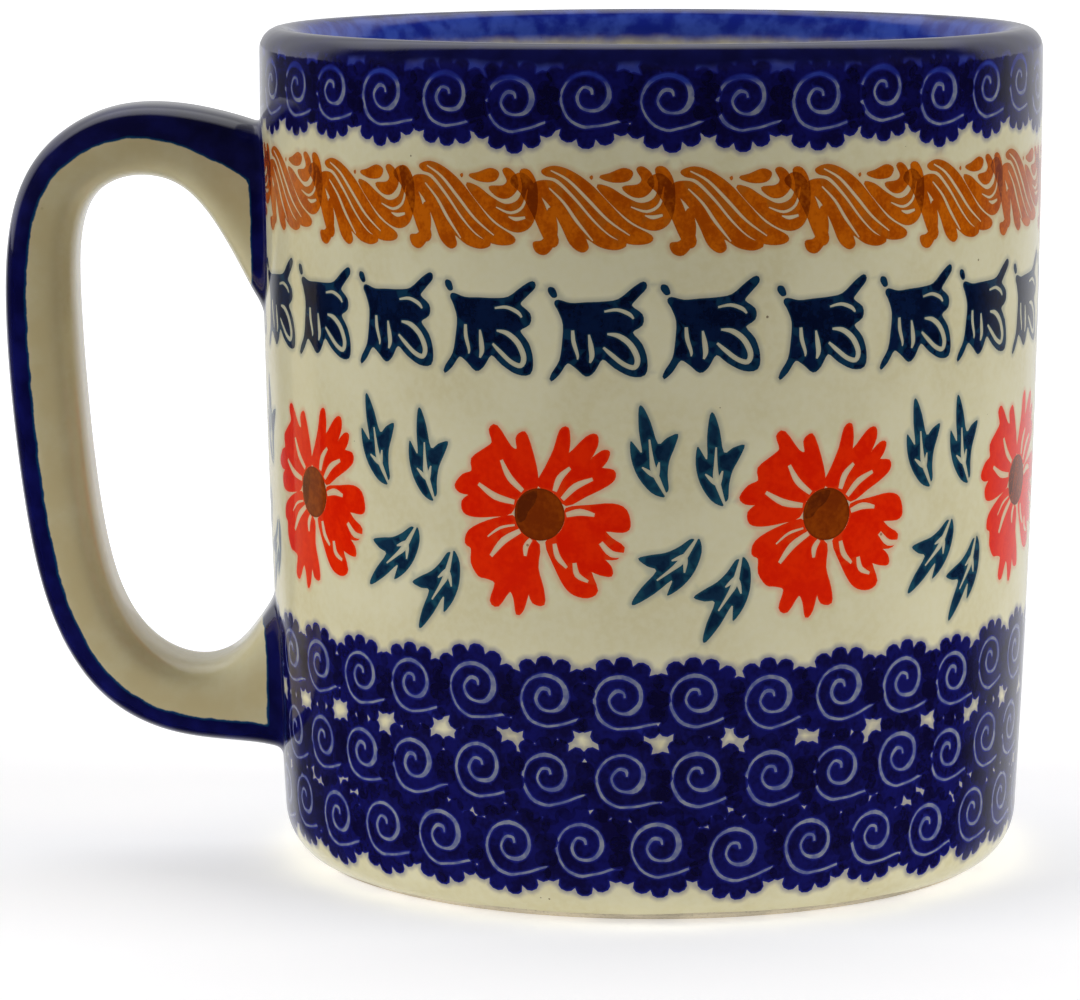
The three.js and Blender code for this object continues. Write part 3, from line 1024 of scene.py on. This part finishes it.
class Look(Nodes):
    """A material."""

    def __init__(self, name):
        self.material = bpy.data.materials.new(name)
        self.material.use_nodes = True
        super().__init__(self.material.node_tree)
        self.shader = self.tree.nodes["Principled BSDF"]
        self.place = self.node("ShaderNodeTexCoord").outputs["Object"]

    def give(self, name, value):
        """Sets an input of the material's shader."""
        self.set(self.shader.inputs[name], value)

    def noise(self, size, detail=2.0, roughness=0.5):
        """Noise between about 0.3 and 0.7, with features of a size in millimetres."""
        return self.node("ShaderNodeTexNoise", {
            "Vector": self.place, "Scale": 1 / (size * MM), "Detail": detail, "Roughness": roughness,
        }).outputs["Fac"]

    def attribute(self, name):
        return self.node("ShaderNodeAttribute", attribute_name=name).outputs["Fac"]

    def height(self):
        """Height above the table, in millimetres."""
        z = self.node("ShaderNodeSeparateXYZ", {0: self.place}).outputs["Z"]
        return self.times(z, 1 / MM)

    def bump(self, height, distance):
        """A bump, given a height from 0 to 1 and its depth in millimetres."""
        sizes = {"Height": height, "Distance": distance * MM, "Strength": 1.0}
        return self.node("ShaderNodeBump", sizes).outputs["Normal"]


CREAM = paint(231, 224, 186)
WARM_CREAM = paint(223, 214, 172)
PALE_CREAM = paint(234, 229, 200)
# a darker, yellower cream, painted along the middle of the handle's sides as shade
SHADE_HONEY = paint(214, 198, 150)
SPECK = paint(92, 66, 40)
NAVY = paint(13, 13, 62)
TEAL_LINE = paint(20, 78, 120)
FOOT_CLAY = (222, 210, 184)
STRAP_CLAY = (200, 184, 156)
SLIP_CLAY = (184, 168, 138)

SPECK_SPACING = 2.4
GLAZE_IOR = 1.52
GLAZE_WAVES = 0.035
BASE_WAVES = 0.08
GRAIN_DEPTH = 0.06
BLEED_REACH = 0.7
LIP_WASH = 0.96
# heights in millimetres, once noise is added, between which the lip's blue comes in: thin, then solid
THIN_OUTSIDE = (88.6, 89.5)
SOLID_OUTSIDE = (90.6, 91.4)
THIN_INSIDE = (87.9, 90.0)
SOLID_INSIDE = (91.9, 93.0)


def cream_colour(look):
    """The clay seen through clear glaze: mottled, with a few dark specks of iron."""
    mottle = look.step(look.noise(9, 3), 0.35, 0.68)
    fine = look.step(look.noise(0.8, 2), 0.3, 0.7, 0.0, 0.35)
    colour = look.mix(mottle, CREAM, WARM_CREAM)
    colour = look.mix(fine, colour, PALE_CREAM)
    spacing = 1 / (SPECK_SPACING * MM)
    cells = look.node("ShaderNodeTexVoronoi", {"Vector": look.place, "Scale": spacing})
    size = look.step(look.noise(2.1, 1), 0.5, 0.72, 0.0, 0.07)
    speck = look.math("LESS_THAN", cells.outputs["Distance"], size)
    return look.mix(look.times(speck, 0.75), colour, SPECK)


def brushed_blue(look, colour, lip_wash=LIP_WASH):
    """Cobalt brushed over the lip and round the handle's roots, over whatever is under it."""
    height = look.add(look.height(), look.times(look.noise(5, 3), 1.6))
    wash = look.step(height, *THIN_OUTSIDE)
    solid = look.step(height, *SOLID_OUTSIDE)
    streaks = look.step(look.noise(3.2, 4), 0.35, 0.7)
    thin = look.mix(streaks, paint(22, 30, 124), paint(40, 60, 160))
    colour = look.mix(look.times(wash, lip_wash), colour, thin)
    colour = look.mix(solid, colour, look.mix(streaks, NAVY, paint(18, 20, 82)))
    edge = look.add(look.attribute("brush_mm"), look.times(look.noise(1.6, 3), 0.5))
    painted = look.step(edge, 0.16, 0.3)
    inner = look.step(edge, 0.22, 0.6)
    blue = look.mix(inner, TEAL_LINE, look.mix(streaks, NAVY, paint(20, 22, 88)))
    return look.mix(painted, colour, blue)


def glossy(look, colour, waviness=GLAZE_WAVES):
    """A clear fired glaze over a colour: glossy, and very slightly uneven."""
    look.give("Base Color", colour)
    look.give("Roughness", look.step(look.noise(6, 3), 0.3, 0.7, 0.05, 0.11))
    look.give("IOR", GLAZE_IOR)
    wave = look.noise(4.5, 1)
    pits = look.noise(0.55, 1)
    skin = look.add(wave, look.times(pits, 0.12))
    look.give("Normal", look.bump(skin, waviness))
    return look.material


def clear_look():
    """Cream wall, tinted where the ink of a stamp has crept out into the glaze."""
    look = Look("clear_glaze")
    bleed = look.node("ShaderNodeAttribute", attribute_name="bleed")
    edge = look.attribute("edge_mm")
    amount = look.times(look.step(edge, 0.0, BLEED_REACH, 1.0, 0.0), bleed.outputs["Alpha"])
    colour = look.mix(amount, cream_colour(look), bleed.outputs["Color"])
    return glossy(look, brushed_blue(look, colour))


def resist_look():
    """Lines left bare in a cobalt stamp, hazed with blue."""
    look = Look("resist_line")
    haze = look.step(look.noise(1.1, 2), 0.3, 0.7)
    colour = look.mix(haze, paint(92, 100, 146), paint(142, 146, 156))
    return glossy(look, brushed_blue(look, colour))


# for each ink: its colours where thin, thick, at its rim and where stamped twice, then the rim's width,
# the size of its grain, and how strongly the lip's blue covers it
INK_COLOURS = {
    "cobalt": ((22, 22, 92), (17, 14, 58), (38, 44, 142), (14, 11, 46), 0.28, 0.5, 0.0),
    "ochre": ((208, 104, 12), (176, 76, 6), (184, 100, 28), (112, 40, 6), 0.2, 0.4, LIP_WASH),
    "indigo": ((12, 28, 62), (7, 16, 42), (22, 60, 86), (6, 14, 32), 0.26, 0.5, LIP_WASH),
    "red": ((244, 46, 6), (234, 32, 4), (238, 64, 20), (214, 26, 4), 0.2, 0.6, LIP_WASH),
    "brown": ((150, 66, 12), (126, 48, 10), (112, 42, 12), (92, 36, 12), 0.3, 0.5, LIP_WASH),
    "teal": ((21, 48, 74), (14, 34, 60), (34, 84, 102), (12, 30, 50), 0.34, 0.5, LIP_WASH),
}
# the colour and the strength of the haze round each ink
BLEEDS = {
    "clear": (0, 0, 0, 0), "resist": paint(30, 44, 140, 0.5), "cobalt": paint(56, 62, 128, 0.5),
    "ochre": paint(196, 130, 66, 0.36), "indigo": paint(40, 70, 100, 0.34),
    "red": paint(226, 110, 70, 0.36), "brown": paint(150, 80, 30, 0.4), "teal": paint(50, 90, 112, 0.34),
}


def ink_look(name):
    """Ink under the glaze. It is thick or thin in a grainy way, changes at its rim, and darkens where
    a later stamp overlaps an earlier one."""
    look = Look(name + "_ink")
    thin, thick, rim, over = (paint(*colour) for colour in INK_COLOURS[name][:4])
    rim_width, grain, lip_wash = INK_COLOURS[name][4:]
    cloud = look.add(look.times(look.noise(2.6, 3), 0.6), look.times(look.noise(grain, 3), 0.4))
    colour = look.mix(look.step(cloud, 0.38, 0.62), thin, thick)
    near_rim = look.step(look.attribute("edge_mm"), 0.0, rim_width, 1.0, 0.0)
    colour = look.mix(look.times(near_rim, 0.75), colour, rim)
    twice = look.step(look.attribute("stamped"), 1.2, 1.8)
    colour = look.mix(look.times(twice, look.step(cloud, 0.3, 0.6, 0.35, 0.85)), colour, over)
    return glossy(look, brushed_blue(look, colour, lip_wash))


def wall_look(name):
    """The material of the wall under a name in INKS."""
    if name == "clear":
        return clear_look()
    if name == "resist":
        return resist_look()
    return ink_look(name)


def handle_look():
    """The strap's glaze, with a painted shade, darker and yellower, along the middle of its sides."""
    look = Look("handle_glaze")
    patches = look.step(look.noise(5, 3), 0.3, 0.65, 0.55, 1.0)
    # painted shade: the cream turns darker honey, in patches, along the middle of the strap's sides
    colour = look.mix(look.times(look.attribute("side_shade"), patches), cream_colour(look), SHADE_HONEY)
    return glossy(look, brushed_blue(look, colour))


def inside_look():
    """Cream inside, with the lip's blue brushed down into it in short strokes."""
    look = Look("inside_glaze")
    height = look.add(look.height(), look.times(look.noise(3, 3), 1.2))
    streaks = look.step(look.noise(2.6, 4), 0.35, 0.65)
    blue = look.mix(streaks, paint(24, 40, 150), paint(58, 84, 190))
    colour = look.mix(look.step(height, *THIN_INSIDE), cream_colour(look), blue)
    navy = look.mix(streaks, NAVY, paint(18, 20, 82))
    colour = look.mix(look.step(height, *SOLID_INSIDE), colour, navy)
    return glossy(look, colour)


def base_look():
    look = Look("base_glaze")
    return glossy(look, cream_colour(look), BASE_WAVES)


def clay_look(name, colour):
    """Bare fired stoneware: matt and grainy, darker in its pores."""
    look = Look(name)
    grains = look.noise(0.35, 4, 0.7)
    patches = look.step(look.noise(7, 3), 0.35, 0.7)
    tone = look.mix(patches, paint(*colour), paint(*(c * 0.86 for c in colour)))
    tone = look.mix(look.step(grains, 0.52, 0.7, 0.0, 0.5), tone, paint(*(c * 0.6 for c in colour)))
    look.give("Base Color", tone)
    look.give("Roughness", look.step(grains, 0.3, 0.7, 0.75, 0.92))
    look.give("Normal", look.bump(grains, GRAIN_DEPTH))
    return look.material


# ---- the mug

upper_root = root_rings(0)
lower_root = root_rings(1)
glazed_wall(upper_root, lower_root)
glazed_handle(upper_root, lower_root)
glazed_inside()
glazed_base()
clay_cup()

strap_clay = clay_look("strap_clay", STRAP_CLAY)
slip_clay = clay_look("slip_clay", SLIP_CLAY)
for node, look in (("handle", strap_clay), ("upper_slip_joint", slip_clay), ("lower_slip_joint", slip_clay)):
    for slot in bpy.data.objects[node].material_slots:
        slot.material = look


# ---- the studio

# metres, degrees and watts, and millimetres for the lens and its sensor
NEAR_TABLE = 0.16
FAR_TABLE = 9.0
TABLE_CORNERS = 96
NEAR_GLOW = 0.46
FAR_GLOW = 0.9
FRONT_LIGHT = 0.03
SIDE_LIGHT = 0.8
BACK_LIGHT = 0.6
TOP_LIGHT = 1.3
TABLE_GLARE = 0.85
LEFT_GLARE = 0.15
FILL_WATTS = 15.0
FILL_SIZE = (1.2, 0.9)
FILL_PLACE = (1.45, -0.42, 0.7)
FILL_TIP = 65
FILL_TURN = 74
LENS = 159.3
SENSOR = 36
SIGHT = 50
CAMERA_PLACE = ((AXIS_X - 12.09) * MM, -0.52764, 0.11696)
CAMERA_DOWN = 8.371
CAMERA_LEAN = 0.14


def white_look(name, glow):
    """White paper, lifted a little so that it stays white in the picture."""
    look = Look(name)
    tone = look.mix(look.noise(400), (0.89, 0.89, 0.9, 1), (0.9, 0.9, 0.91, 1))
    look.give("Base Color", tone)
    look.give("Roughness", 0.8)
    look.give("Specular IOR Level", 0.0)
    look.give("Emission Color", tone)
    look.give("Emission Strength", glow)
    return look.material


def table_ring(name, inner, outer, look):
    """A flat ring of the white table round the cup, or a disc where it has no inner edge."""
    turns = [2 * math.pi * k / TABLE_CORNERS for k in range(TABLE_CORNERS)]
    rim = [(AXIS_X * MM + outer * math.cos(t), outer * math.sin(t), 0) for t in turns]
    faces = [tuple(range(TABLE_CORNERS))]
    if inner:
        rim += [(AXIS_X * MM + inner * math.cos(t), inner * math.sin(t), 0) for t in turns]
        following = [(k + 1) % TABLE_CORNERS for k in range(TABLE_CORNERS)]
        faces = [(k, j, TABLE_CORNERS + j, TABLE_CORNERS + k) for k, j in enumerate(following)]
    mesh = bpy.data.meshes.new(name)
    mesh.from_pydata(rim, [], faces)
    mesh.materials.append(look)
    table = place_object(name, mesh)
    return table


def studio_table():
    """A white table that runs out of sight. Only the part near the mug throws light back at it, as if
    the rest were masked off with black card, and the glaze mirrors none of it."""
    near = table_ring("table_near", 0, NEAR_TABLE, white_look("white_table", NEAR_GLOW))
    far = table_ring("table_far", NEAR_TABLE, FAR_TABLE, white_look("white_backdrop", FAR_GLOW))
    near.visible_glossy = False
    far.visible_glossy = False
    far.visible_diffuse = False


def studio_light():
    """A tent of soft light behind the mug, brightest overhead, and nearly dark from the sides forward.
    Under the horizon it is what the glaze mirrors: bright behind the mug, dark in front, dim to the left."""
    world = bpy.data.worlds.new("light_tent")
    bpy.context.scene.world = world
    world.use_nodes = True
    sky = Nodes(world.node_tree)
    view = sky.node("ShaderNodeTexCoord").outputs["Generated"]
    split = sky.node("ShaderNodeSeparateXYZ", {0: view})
    backwards = split.outputs["Y"]
    upwards = split.outputs["Z"]
    sides = sky.step(backwards, 0.2, 0.5, FRONT_LIGHT, SIDE_LIGHT)
    around = sky.blend(sky.step(backwards, 0.7, 0.88), sides, BACK_LIGHT)
    overhead = sky.step(backwards, 0.1, 0.4, FRONT_LIGHT, TOP_LIGHT)
    above = sky.blend(sky.step(upwards, 0.5, 0.7), around, overhead)
    mirrored = sky.step(backwards, 0.25, 1.08, 0.0, TABLE_GLARE)
    glare = sky.blend(sky.step(split.outputs["X"], -0.62, -0.42, LEFT_GLARE, 1.0), 0.0, mirrored)
    background = sky.tree.nodes["Background"].inputs
    sky.set(background["Strength"], sky.blend(sky.step(upwards, -0.01, 0.0), glare, above))
    sky.set(background["Color"], (0.985, 0.99, 1.0, 1))


def fill_light(name, side):
    """A broad soft light to one side, which brightens the wall and isn't mirrored in the glaze."""
    data = bpy.data.lights.new(name, "AREA")
    data.shape = "RECTANGLE"
    data.size, data.size_y = FILL_SIZE
    data.energy = FILL_WATTS
    fill = place_object(name, data)
    fill.location = (side * FILL_PLACE[0], *FILL_PLACE[1:])
    fill.rotation_euler = (math.radians(FILL_TIP), 0, side * math.radians(FILL_TURN))
    fill.visible_glossy = False


def photographer():
    """A long lens a little above the rim, level with the front of the cup."""
    data = bpy.data.cameras.new("camera")
    data.lens = LENS
    data.sensor_width = SENSOR
    data.clip_end = SIGHT
    camera = place_object("camera", data)
    camera.location = CAMERA_PLACE
    camera.rotation_euler = (math.radians(90 - CAMERA_DOWN), math.radians(CAMERA_LEAN), 0)
    bpy.context.scene.camera = camera


studio_table()
studio_light()
fill_light("left_fill", -1)
fill_light("right_fill", 1)
photographer()
bpy.context.scene.view_settings.view_transform = "Standard"
